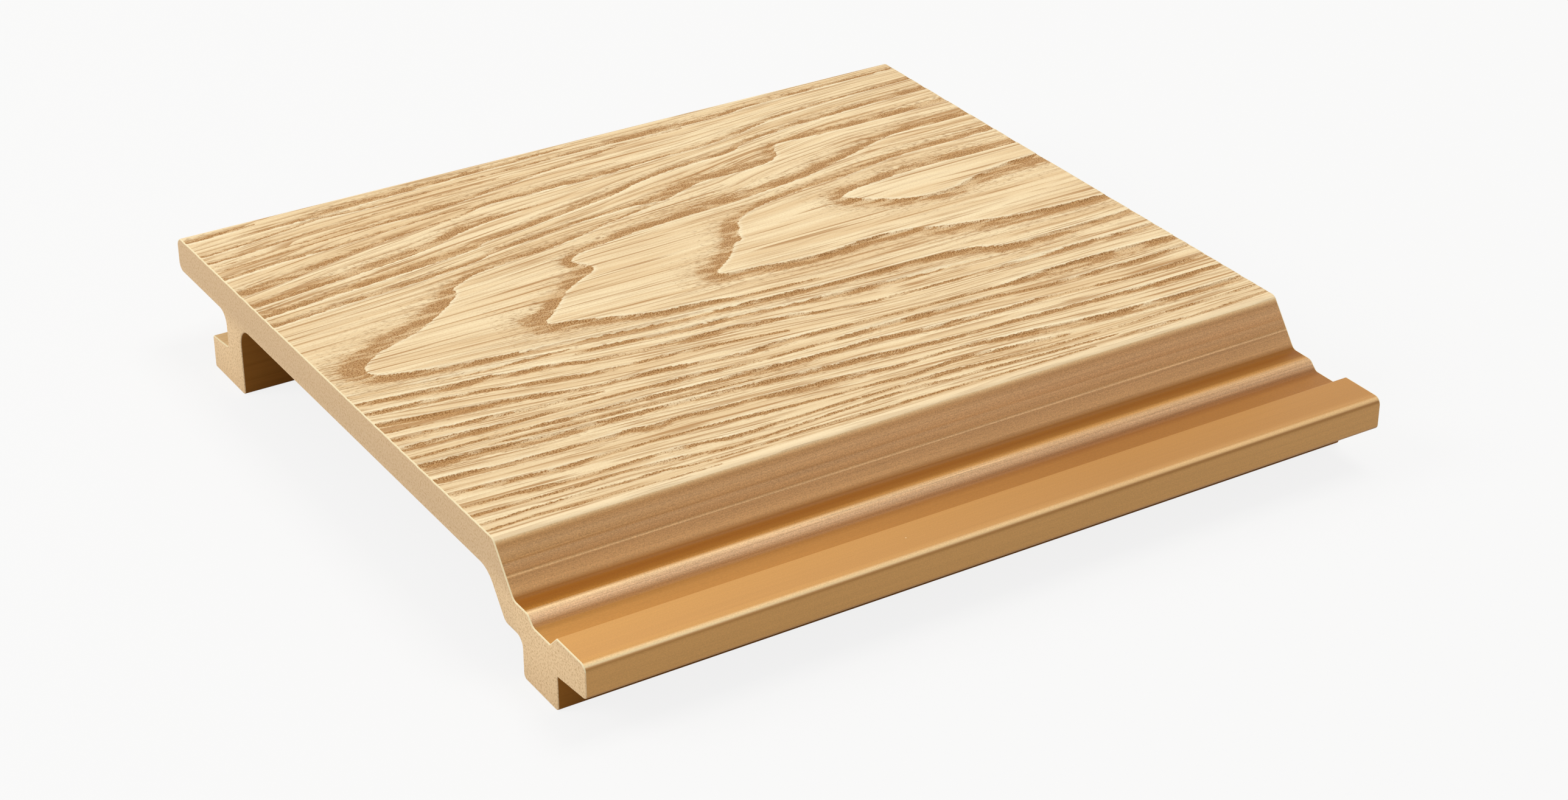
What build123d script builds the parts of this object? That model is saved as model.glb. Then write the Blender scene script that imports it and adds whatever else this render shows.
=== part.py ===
"""One cut length of composite wall cladding, lying on its back with the grained face up.

The panel is one extruded section. X runs along the extrusion and Z is up. The lip edge is
at +Y and the tongue at -Y. The origin is on the floor, under the middle of the panel's box.
The tongue of one panel slides into the groove of the next, and the lip covers it.
"""

from build123d import *
from math import atan2, radians, sin, tan
import os

# Overall sizes, in millimetres
piece_length = 157.0  # saw cut to saw cut
panel_width = 156.0  # lip edge to tongue front
panel_height = 21.0  # back to grained face
plate_thickness = 6.8  # the grained plate

# Groove at the lip edge, which takes the next panel's tongue
lip_overhang = 21.2  # lip edge to the outer face of the leg
leg_thickness = 6.1
foot_reach = 7.3  # foot beyond the leg's outer face
foot_height = 6.4  # at its tip

# Fit of one panel in the next
foot_clearance = 0.3  # over the foot, under the next tongue
foot_end_clearance = 2.0  # foot tip to the wall of the rebate
lip_clearance = 0.6  # over the tongue, under the next lip
shadow_gap = 1.8  # lip edge to the foot of the slope on the next panel
mating_draft = 6.0  # slope of the foot's top and of the tongue's underside, in degrees

# Tongue edge
block_thickness = 11.2  # the block that stands on the wall behind the tongue
tongue_flat = 9.0  # tongue front to ridge
ridge_run = 2.3  # slope behind the ridge, across
channel_depth = 2.3  # tongue top to channel floor
riser_run = 1.7  # step from ledge to channel floor, across
ledge_width = 4.6
ledge_drop = 0.7  # tongue top to ledge
ledge_thickness = 5.7
slope_run = 6.2  # sloping side, across
slope_wall = 6.0  # thickness square to the slope

# Corner radii
lip_top_radius = 2.0
lip_bottom_radius = 1.6
face_edge_radius = 1.5
slope_foot_radius = 1.6
ledge_crest_radius = 1.3
riser_foot_radius = 1.3
ridge_radius = 0.35
tongue_top_radius = 1.4
tongue_bottom_radius = 0.9
base_radius = 0.7
block_back_radius = 0.9
block_inner_radius = 1.8
slope_inner_radius = 1.8
plate_bend_radius = 5.0
leg_inner_radius = 4.0
foot_radius = 0.4
groove_bottom_radius = 1.0
groove_top_radius = 2.5

# Heights above the back
plate_under = panel_height - plate_thickness
tongue_top = plate_under - lip_clearance
foot_root = foot_height + foot_reach * tan(radians(mating_draft))
tongue_under = foot_root + foot_clearance
tongue_root = tongue_under - (foot_reach + foot_end_clearance) * tan(radians(mating_draft))
ledge_top = tongue_top - ledge_drop
ledge_under = ledge_top - ledge_thickness
channel_floor = tongue_top - channel_depth

# Places across the width
lip_edge = panel_width / 2
tongue_front = -panel_width / 2
leg_outer = lip_edge - lip_overhang
leg_inner = leg_outer - leg_thickness
foot_tip = leg_outer + foot_reach
rebate_wall = tongue_front + foot_reach + foot_end_clearance
block_back = rebate_wall + block_thickness
ridge = tongue_front + tongue_flat
channel_front = ridge + ridge_run
slope_foot = tongue_front + lip_overhang + shadow_gap
face_edge = slope_foot + slope_run
ledge_crest = slope_foot - ledge_width
riser_foot = ledge_crest - riser_run


def inside_slope(height):
    """Where the inner face of the sloping side is at a height, across the width."""
    drop = panel_height - ledge_top
    angle = atan2(drop, slope_run)
    outside = face_edge - (panel_height - height) * slope_run / drop
    return outside + slope_wall / sin(angle)


def section_corners():
    """The section's corners in order, each as its place, its height and its radius."""
    lip = [
        (lip_edge, plate_under, lip_bottom_radius),
        (lip_edge, panel_height, lip_top_radius),
    ]
    sloping_side = [
        (face_edge, panel_height, face_edge_radius),
        (slope_foot, ledge_top, slope_foot_radius),
        (ledge_crest, ledge_top, ledge_crest_radius),
        (riser_foot, channel_floor, riser_foot_radius),
    ]
    tongue = [
        (channel_front, channel_floor, 0),
        (ridge, tongue_top, ridge_radius),
        (tongue_front, tongue_top, tongue_top_radius),
        (tongue_front, tongue_under, tongue_bottom_radius),
        (rebate_wall, tongue_root, 0),
    ]
    block = [
        (rebate_wall, 0, base_radius),
        (block_back, 0, block_back_radius),
        (block_back, ledge_under, block_inner_radius),
    ]
    back = [
        (inside_slope(ledge_under), ledge_under, slope_inner_radius),
        (inside_slope(plate_under), plate_under, plate_bend_radius),
    ]
    leg = [
        (leg_inner, plate_under, leg_inner_radius),
        (leg_inner, 0, base_radius),
        (foot_tip, 0, foot_radius),
        (foot_tip, foot_height, foot_radius),
        (leg_outer, foot_root, groove_bottom_radius),
        (leg_outer, plate_under, groove_top_radius),
    ]
    return lip + sloping_side + tongue + block + back + leg


def section():
    """The closed section as a face on the YZ plane, in the middle of the length."""
    corners = section_corners()
    points = [(place, height) for place, height, _ in corners]
    radii = [radius for _, _, radius in corners]
    with BuildSketch(Plane.YZ) as sketch:
        with BuildLine():
            FilletPolyline(*points, radius=radii, close=True)
        make_face()
    return sketch.sketch


wall_panel = extrude(section(), amount=piece_length / 2, both=True)

os.makedirs("parts", exist_ok=True)
export_step(wall_panel, "parts/wall_panel.step")
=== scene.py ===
"""Looks of one cut length of composite wall cladding, lying on its back on a pale floor.

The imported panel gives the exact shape. Here it gets its embossed wood grain, the finish of
its moulded edges and sawn ends, a camera and soft studio light. Lengths are in millimetres
until they reach Blender, which works in metres. A place on the face is given as a workshop
drawing would give it: along, from the near end, and across, from the lip edge.
"""

import logging
import math
from dataclasses import dataclass, field
from enum import Enum
from functools import partial
from typing import Callable

import bmesh
import bpy
import numpy as np
from bpy.types import Material, Node, NodeSocket, NodeTree, Object
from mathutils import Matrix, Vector


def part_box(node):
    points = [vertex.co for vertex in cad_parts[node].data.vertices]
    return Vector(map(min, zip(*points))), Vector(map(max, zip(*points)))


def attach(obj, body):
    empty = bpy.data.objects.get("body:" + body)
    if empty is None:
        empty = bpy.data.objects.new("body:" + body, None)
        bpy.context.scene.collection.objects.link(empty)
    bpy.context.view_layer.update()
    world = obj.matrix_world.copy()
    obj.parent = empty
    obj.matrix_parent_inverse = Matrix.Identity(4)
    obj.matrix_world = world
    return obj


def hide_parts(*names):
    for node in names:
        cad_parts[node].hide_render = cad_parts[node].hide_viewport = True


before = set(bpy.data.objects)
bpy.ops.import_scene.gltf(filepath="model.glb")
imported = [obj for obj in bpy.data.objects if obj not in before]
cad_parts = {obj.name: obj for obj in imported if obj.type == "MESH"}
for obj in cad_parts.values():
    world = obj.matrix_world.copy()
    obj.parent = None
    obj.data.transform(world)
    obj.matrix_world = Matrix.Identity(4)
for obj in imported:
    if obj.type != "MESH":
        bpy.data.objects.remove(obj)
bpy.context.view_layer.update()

MM = 0.001
WHITE = (1, 1, 1, 1)
SMOOTH = {"interpolation_type": "SMOOTHSTEP"}
Limits = tuple[float, ...]
Source = Node | NodeSocket | tuple
log = logging.getLogger("wall_panel")


class SoftSide(Enum):
    """The side of a growth line on which its brown fades out; the other side is cut clean."""

    LIP = "towards the lip edge"
    TONGUE = "towards the tongue edge"
    AROUND = "around the outside of an arch"


@dataclass(frozen=True)
class GrowthLine:
    """One line of dark late wood in the embossed grain.

    Each point is along, across and width in millimetres, on the line's clean edge. A line
    is given from the near end to the far end. An arch is given from the far end of its arm
    beside the lip, round its tip, to the far end of its arm beside the tongue. The fibres
    run along the lines that are guides.
    """

    name: str
    soft_side: SoftSide
    points: tuple[tuple[float, float, float], ...]
    guide: bool = False


# Lines whose brown fades out towards the lip edge
LIP_LINES = {
    "lip_patch": ((-1, 4.3, 1.4), (8, 3.8, 1.2), (14, 3.1, 0.3)),
    "lip_band": ((12, 6.4, 0.3), (25, 6.2, 1.6), (35, 5.6, 2.0), (50, 4.8, 1.7), (65, 4.1, 1.2),
        (82, 3.2, 0.4)),
    "lip_streak": ((-1, 11.3, 0.8), (10, 10.0, 0.8), (21, 8.1, 0.6), (26, 7.4, 1.0), (35, 7.9, 0.9),
        (44, 7.8, 0.6), (58, 7.0, 0.4), (79, 6.4, 0.9), (88, 6.3, 1.4), (102, 6.4, 2.0), (114, 6.2, 1.8),
        (120, 5.2, 1.2), (133, 4.7, 1.2), (158, 4.2, 0.8)),
    "lip_hair": ((-1, 14.4, 0.9), (8, 13.8, 0.8), (15, 12.9, 0.8), (25, 11.6, 0.4), (40, 10.6, 0.3),
        (62, 9.0, 0.3)),
    "thin_pair_a": ((-1, 16.2, 0.4), (10, 15.6, 0.4), (20, 14.9, 0.4), (26, 14.2, 0.5), (38, 13.6, 0.5),
        (50, 13.2, 0.2)),
    "thin_pair_b": ((-1, 18.3, 0.5), (15, 17.0, 0.5), (25, 16.1, 0.5), (35, 15.6, 0.9), (44, 15.6, 2.2),
        (52, 14.6, 1.6), (64, 12.4, 1.0), (72, 11.0, 0.8), (80, 10.0, 0.7), (91, 7.9, 0.5), (104, 7.3, 0.2)),
    "sixth_line": ((-1, 22.0, 1.0), (8, 20.9, 1.0), (13, 20.3, 1.4), (20, 20.1, 1.0), (27, 19.5, 0.8),
        (37, 18.4, 0.7), (46, 17.8, 0.5), (54, 17.2, 0.2)),
    "seventh_line": ((-1, 29.8, 2.6), (10, 27.9, 2.3), (16, 26.1, 1.7), (25, 24.0, 1.4), (35, 21.9, 0.9),
        (48, 20.3, 0.5), (54, 18.6, 1.2), (62, 18.4, 1.9), (79, 18.5, 1.6), (92, 17.3, 0.8), (103, 17.0, 1.0),
        (111, 15.9, 1.4), (117, 14.2, 1.2), (125, 12.4, 1.0), (140, 11.3, 0.8), (158, 10.6, 0.9)),
    "short_band": ((-1, 34.9, 1.6), (10, 33.6, 1.7), (20, 32.3, 2.6), (31, 30.8, 2.6), (40, 28.7, 2.4),
        (44, 27.0, 2.8), (50, 25.4, 2.8), (55, 24.6, 1.4), (63, 23.6, 0.3)),
    "ninth_line": ((-1, 39.6, 2.6), (12, 38.0, 1.6), (25, 36.7, 2.4), (37, 35.2, 2.2), (45, 33.9, 1.7),
        (47, 32.6, 0.9), (56, 31.4, 1.6), (67, 29.2, 1.8), (77, 27.3, 1.8), (83, 25.2, 1.5), (90, 23.6, 1.3),
        (97, 22.8, 1.2), (106, 22.3, 1.4), (111, 20.0, 1.4), (121, 18.4, 1.2), (129, 17.9, 2.0),
        (140, 17.2, 1.8), (158, 16.5, 1.8)),
    "stepped_line": ((-1, 43.6, 1.8), (10, 42.4, 1.2), (19, 41.6, 1.3), (33, 40.4, 1.4), (42, 39.0, 0.9),
        (47, 37.0, 1.2), (55, 36.2, 1.5), (67, 34.3, 1.0), (78, 33.7, 1.2), (85, 34.2, 3.0), (91, 32.0, 3.2),
        (95, 31.0, 2.8), (103, 31.0, 2.8), (110, 30.2, 2.6), (113.2, 28.3, 2.6), (114.2, 25.8, 2.2),
        (117, 23.6, 1.5), (127, 24.2, 2.2), (158, 24.1, 2.2)),
}

# Arches, whose brown fades out around their outside
ARCHES = {
    "first_arch": ((86, 35.0, 0.6), (80, 35.9, 0.9), (71, 37.7, 0.8), (62, 40.0, 1.2), (54, 41.5, 1.6),
        (45, 42.5, 1.3), (39.6, 43.4, 1.3), (36, 45.0, 1.6), (33.4, 46.7, 2.4), (33.3, 48.3, 3.0),
        (31, 50.8, 3.0), (26.7, 54.2, 3.6), (21, 57.9, 4.0), (12.5, 61.3, 4.2), (8, 64.3, 4.4),
        (6.8, 66.6, 4.4), (7.3, 68.3, 3.2), (9.8, 69.9, 2.4), (16.7, 71.8, 1.8), (25, 73.3, 1.4),
        (33, 74.5, 0.9), (42, 75.4, 1.0), (50, 76.4, 1.3), (58, 77.3, 1.5), (67, 78.0, 1.4), (77, 79.4, 1.4),
        (85, 79.8, 1.4), (95, 80.8, 1.0), (102, 80.8, 1.6), (114, 81.2, 2.0), (119, 81.8, 2.0),
        (123, 82.6, 2.2), (127, 84.2, 2.6), (131, 84.9, 2.4), (137, 85.0, 2.0), (158, 84.6, 1.2)),
    "second_arch": ((158, 31.9, 2.6), (140, 31.9, 2.2), (135, 32.6, 1.8), (131, 34.0, 1.8), (125, 36.0, 2.0),
        (118.7, 37.9, 2.8), (113, 39.6, 2.2), (102, 41.2, 2.8), (94, 42.1, 3.4), (83, 42.7, 3.0),
        (78, 43.2, 2.6), (71, 43.8, 2.4), (65, 44.8, 1.8), (60, 45.8, 1.6), (57, 47.6, 1.7),
        (56.7, 48.8, 1.8), (58.4, 50.8, 2.2), (59, 52.2, 2.6), (57.9, 53.8, 2.8), (54.2, 55.6, 2.8),
        (51.5, 57.4, 2.4), (49.6, 58.8, 2.4), (47, 61.7, 2.6), (44.2, 64.4, 3.2), (41.8, 66.6, 4.6),
        (42, 68.1, 3.6), (45, 68.9, 2.8), (48.3, 69.9, 2.4), (54.2, 72.0, 1.9), (60, 73.9, 1.5),
        (66.7, 74.5, 1.5), (71, 75.3, 1.2), (75, 76.4, 0.8), (80, 76.8, 0.5), (92, 77.8, 0.2)),
    "third_arch": ((158, 40.6, 2.2), (135, 41.0, 2.0), (127, 42.1, 2.0), (119, 43.5, 1.4), (111, 44.2, 1.3),
        (102, 45.4, 1.8), (95.8, 47.1, 1.5), (92.8, 48.7, 2.0), (90.8, 50.4, 3.0), (90.2, 52.1, 3.6),
        (88.7, 54.3, 3.6), (87.9, 56.6, 3.0), (86, 57.4, 2.6), (84.5, 59.3, 2.6), (82, 62.0, 2.8),
        (79.4, 64.0, 3.2), (77.1, 66.1, 3.8), (78.8, 67.5, 2.6), (83.3, 68.0, 2.6), (89.5, 69.1, 2.6),
        (97, 69.9, 2.5), (102, 69.7, 2.5), (108.3, 68.9, 2.6), (114.5, 69.3, 2.6), (117.8, 69.9, 2.6),
        (122, 71.6, 3.0), (127, 73.0, 3.3), (135.3, 74.9, 3.2), (143.7, 76.0, 2.6), (158, 76.9, 2.4)),
    "inner_arch": ((158, 48.1, 2.8), (146, 48.0, 2.6), (137, 47.7, 2.6), (131, 48.0, 2.6), (119, 49.2, 2.2),
        (115, 50.4, 2.6), (114.1, 51.7, 3.2), (117, 54.2, 3.2), (120.7, 56.7, 3.0), (124, 58.3, 2.8),
        (129, 59.4, 2.6), (134.5, 59.2, 2.6), (137.4, 58.1, 2.8), (143.7, 56.3, 3.2), (150, 55.2, 3.6),
        (158, 54.6, 3.8)),
}

# Lines whose brown fades out towards the tongue edge
TONGUE_LINES = {
    "first_streak": ((-1, 72.9, 0.8), (8, 74.5, 0.5), (14, 75.2, 0.9), (22, 76.2, 1.0), (30, 76.9, 1.0),
        (38, 77.5, 0.6), (46, 77.9, 0.2)),
    "second_streak": ((-1, 76.3, 1.0), (5, 77.1, 0.9), (10, 77.7, 1.6), (19, 78.9, 1.5), (24, 79.2, 1.2),
        (28.5, 80.4, 1.2), (33, 80.9, 1.3), (37, 81.9, 0.9), (41, 83.3, 0.8), (45.5, 84.1, 0.7),
        (50, 85.0, 0.5), (56, 84.9, 1.0), (61, 85.4, 1.2), (69, 85.7, 1.4), (72, 86.7, 0.9), (80, 87.4, 1.1),
        (85, 89.0, 0.6), (94, 90.5, 0.5), (105, 91.0, 0.5), (120, 91.4, 0.6), (125, 91.2, 1.0),
        (140, 91.3, 1.3), (158, 91.4, 1.4)),
    "third_streak": ((40, 80.2, 0.2), (44, 80.0, 0.8), (48, 80.2, 0.9), (53, 81.0, 0.9), (60, 81.4, 1.4),
        (70, 82.0, 1.4), (80, 83.3, 1.0), (91, 84.6, 1.5), (102, 85.4, 1.3), (114.5, 86.2, 0.8),
        (123, 87.0, 0.6), (128, 86.6, 0.8)),
    "fourth_streak": ((-1, 80.3, 0.9), (5, 80.6, 1.0), (10, 81.2, 1.2), (14, 82.1, 0.8), (21, 83.3, 0.7),
        (29, 85.2, 0.9), (35, 86.6, 0.9), (40, 87.6, 0.8), (50, 88.5, 0.6), (55, 88.8, 0.9), (65, 90.2, 0.5),
        (76, 92.1, 0.3)),
    "fifth_streak": ((-1, 84.1, 1.6), (4, 84.9, 1.6), (10, 86.2, 1.6), (17, 87.2, 1.7), (23, 88.3, 1.4),
        (28, 89.4, 1.2), (32, 90.7, 0.9), (37, 91.8, 0.7), (43, 92.1, 0.8), (51, 92.7, 1.3), (58, 94.2, 0.7),
        (65, 95.0, 1.0), (71, 94.7, 1.5), (77, 95.0, 1.0), (90, 96.2, 0.5), (101, 97.0, 0.5),
        (113, 97.4, 0.5), (119, 97.6, 0.9), (125, 97.0, 2.2), (135, 96.8, 2.6), (150, 97.2, 2.4),
        (158, 97.8, 1.6)),
    "sixth_streak": ((-1, 87.8, 0.4), (5, 88.1, 0.3), (13, 89.5, 0.2)),
    "seventh_streak": ((-1, 90.4, 0.9), (5, 90.8, 1.0), (12, 91.4, 0.8), (18, 92.0, 1.0), (25, 93.1, 0.6),
        (32, 93.6, 0.6), (38, 94.4, 0.2)),
    "eighth_streak": ((-1, 93.7, 1.3), (5, 94.0, 1.2), (11, 94.3, 1.3), (15, 94.8, 1.6), (21, 95.6, 0.7),
        (30, 96.0, 0.5), (42, 96.7, 0.4), (48, 97.2, 0.9), (52, 97.2, 1.1), (60, 98.0, 0.7), (69, 98.9, 0.5),
        (80, 99.3, 0.5), (88, 98.9, 1.4), (98, 99.3, 1.4), (110, 99.9, 0.9), (117, 100.8, 0.6),
        (123, 101.9, 0.5), (129, 101.9, 0.9), (138, 102, 1.1), (145, 102.3, 1.1), (158, 102.0, 0.7)),
    "ninth_streak": ((-1, 97.6, 0.4), (8, 98.0, 0.4), (21, 98.6, 0.6), (27, 99.1, 0.9), (35, 99.4, 1.0),
        (44, 100.0, 1.0), (54, 101.1, 0.9), (60, 101.1, 1.3), (65, 101.5, 1.8), (71, 102.1, 1.5),
        (80, 102.7, 1.0), (86, 102.6, 1.4), (91, 103.3, 1.2), (96, 104.1, 1.1), (103, 104.6, 1.4),
        (112, 105.2, 0.9), (119, 105.3, 0.9), (128, 106.2, 0.5), (140, 107.2, 0.6), (150, 107.0, 1.2),
        (158, 106.5, 1.3)),
    "tenth_streak": ((13, 100.3, 0.2), (31, 101.7, 0.4), (42, 102.4, 0.4), (58, 103.9, 0.3),
        (73, 104.6, 0.2)),
    "eleventh_streak": ((-1, 100.1, 2.2), (4, 100.6, 2.0), (10, 101.0, 2.0), (17, 101.8, 2.0),
        (25, 102.8, 1.6), (35, 103.3, 1.2), (44, 104.1, 0.9), (54, 104.8, 1.0), (62, 105.6, 1.1),
        (71, 106.6, 1.2), (79, 107.2, 1.5), (83, 107.6, 1.4), (91, 108.7, 1.2), (102, 109.7, 0.6),
        (112, 109.9, 0.8), (117, 110.2, 1.1), (125, 110.8, 0.8), (139, 111.4, 1.2), (146, 111.6, 1.4),
        (158, 111.8, 0.7)),
    "twelfth_streak": ((-1, 105.8, 1.4), (6, 106.2, 1.2), (11, 107.3, 0.8), (17, 107.5, 0.9),
        (25, 108.1, 0.6), (31, 108.3, 1.1), (35, 108.0, 1.1), (39, 108.9, 1.4), (44, 108.8, 0.8),
        (51, 109.4, 1.0), (58, 110.0, 0.7), (65, 110.6, 1.4), (71, 111.0, 1.4), (79, 112.0, 1.1),
        (86, 113.1, 0.6), (94, 113.1, 0.5), (100, 113.2, 0.8), (106, 114.0, 1.3), (112, 114.6, 1.6),
        (119, 115.6, 1.6), (125, 116.3, 1.6), (131, 116.9, 1.6), (140, 117.3, 1.4), (158, 117.3, 1.4)),
    "thirteenth_streak": ((-1, 111.2, 0.6), (5, 111.4, 0.7), (9, 111.8, 1.0), (15, 112.5, 0.8),
        (20, 113.1, 0.9), (27, 112.9, 0.7), (35, 113.3, 0.4), (44, 113.7, 0.5), (52, 114.2, 0.8),
        (58, 114.9, 0.7), (66, 115.7, 0.4), (77, 116.2, 0.5), (85, 117.0, 0.5), (96, 116.3, 1.0),
        (102, 117.1, 0.9), (108, 117.9, 0.9), (112, 118.4, 0.9), (117, 119.3, 0.2)),
    "fourteenth_streak": ((-1, 115.8, 0.6), (9, 116.3, 0.5), (14, 116.8, 0.8), (25, 117.4, 0.5),
        (35, 117.6, 0.5), (39, 117.6, 0.9), (44, 118.3, 0.5), (48, 118.9, 0.9), (56, 119.2, 0.5),
        (64, 119.0, 0.4), (78, 119.2, 0.4), (86, 119.2, 0.8), (92, 119.3, 0.8), (98, 119.9, 0.6),
        (106, 120.7, 0.5), (115, 121.3, 0.3), (135, 121.6, 0.3), (158, 121.6, 0.4)),
    "fifteenth_streak": ((-1, 118.9, 0.4), (10, 119.3, 0.5), (19, 119.7, 0.4), (27, 119.6, 0.4),
        (36, 120.2, 0.9), (40, 120.9, 0.6), (46, 122.0, 0.3), (55, 121.8, 0.3), (65, 121.2, 0.4),
        (80, 121.0, 0.5), (90, 121.8, 0.4), (100, 122.2, 0.5), (112, 123.0, 0.4), (124, 123.8, 0.2)),
    "sixteenth_streak": ((-1, 122.0, 0.4), (17, 122.0, 0.3), (25, 122.6, 0.3), (33, 122.6, 0.4),
        (38, 123.5, 0.3), (46, 124.0, 0.2), (60, 123.7, 0.4), (70, 124.1, 0.5), (88, 124.5, 0.4),
        (106, 125.1, 0.3), (118, 125.3, 0.2)),
    "edge_streak": ((-1, 124.3, 0.4), (8, 124.1, 0.3), (15, 124.6, 0.4), (23, 125.0, 0.3), (42, 126.0, 0.2)),
    "far_edge_streak": ((124, 124.8, 0.2), (130, 124.7, 0.8), (142, 125.1, 0.5), (158, 124.6, 0.4)),
}

GUIDES = {
    "lip_streak", "seventh_line", "ninth_line", "stepped_line", "second_streak", "fifth_streak",
    "eighth_streak", "ninth_streak", "eleventh_streak", "twelfth_streak", "fourteenth_streak"}
GROWTH_LINES = tuple(
    GrowthLine(name, side, points, name in GUIDES)
    for side, drawn in ((SoftSide.LIP, LIP_LINES), (SoftSide.AROUND, ARCHES), (SoftSide.TONGUE, TONGUE_LINES))
    for name, points in drawn.items())


def linear_colour(code: str) -> tuple[float, float, float, float]:
    """Turn an sRGB hex colour into the linear RGBA that a node socket takes.

    Args:
        code: Six hex digits after a hash.

    Returns:
        Linear red, green and blue, and an alpha of one.
    """
    channels = [int(code[start:start + 2], 16) / 255 for start in (1, 3, 5)]
    linear = [c / 12.92 if c <= 0.04045 else ((c + 0.055) / 1.055) ** 2.4 for c in channels]
    return (*linear, 1.0)


def add_node(tree: NodeTree, kind: str, inputs: dict | tuple = (), **settings) -> Node:
    """Add one node with its settings, its values and its links.

    Args:
        tree: The tree that gets the node.
        kind: Blender's name of the node type, without the leading ShaderNode.
        inputs: What each input holds or is linked from, by its name or number, or in order
            from the first. A node stands for its first output in use.
        **settings: The node's own properties.

    Returns:
        The new node.
    """
    node = tree.nodes.new("ShaderNode" + kind)
    for name, value in settings.items():
        setattr(node, name, value)
    for socket, value in (inputs if isinstance(inputs, dict) else dict(enumerate(inputs))).items():
        if isinstance(value, Node):
            value = next(output for output in value.outputs if output.enabled)
        if isinstance(value, NodeSocket):
            tree.links.new(value, node.inputs[socket])
        else:
            node.inputs[socket].default_value = value
    return node


def edit(piece: Object, mode: str) -> None:
    """Enter edit mode on one piece with nothing selected.

    Args:
        piece: The mesh object to edit.
        mode: What is selected there: EDGE or FACE.
    """
    bpy.ops.object.select_all(action="DESELECT")
    piece.select_set(True)
    bpy.context.view_layer.objects.active = piece
    bpy.ops.object.mode_set(mode="EDIT")
    bpy.ops.mesh.select_mode(type=mode)
    bpy.ops.mesh.select_all(action="DESELECT")


def select(piece: Object, kind: str, wanted: Callable) -> None:
    """Select only the edges or faces of a piece in edit mode that pass a test.

    Args:
        piece: The mesh object in edit mode.
        kind: Either edges or faces.
        wanted: Takes a bmesh edge or face and says whether it is wanted.
    """
    shape = bmesh.from_edit_mesh(piece.data)
    bpy.ops.mesh.select_all(action="DESELECT")
    for element in getattr(shape, kind):
        if wanted(element):
            element.select_set(True)
    shape.select_flush_mode()
    bmesh.update_edit_mesh(piece.data)


@dataclass
class Imprint:
    """What the grain roller leaves at each place on the face.

    The gate is above zero inside a pressed line and its feather. The share is nothing on
    the line's clean edge and one where its full brown ends. The edge is how near a clean
    edge is, as minus a distance, and is lower beside thin lines and past a line's ends; the
    face paints its highlight beside a clean edge from it. The depth is nothing to one.
    """

    gate: np.ndarray
    share: np.ndarray
    edge: np.ndarray
    depth: np.ndarray


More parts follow.
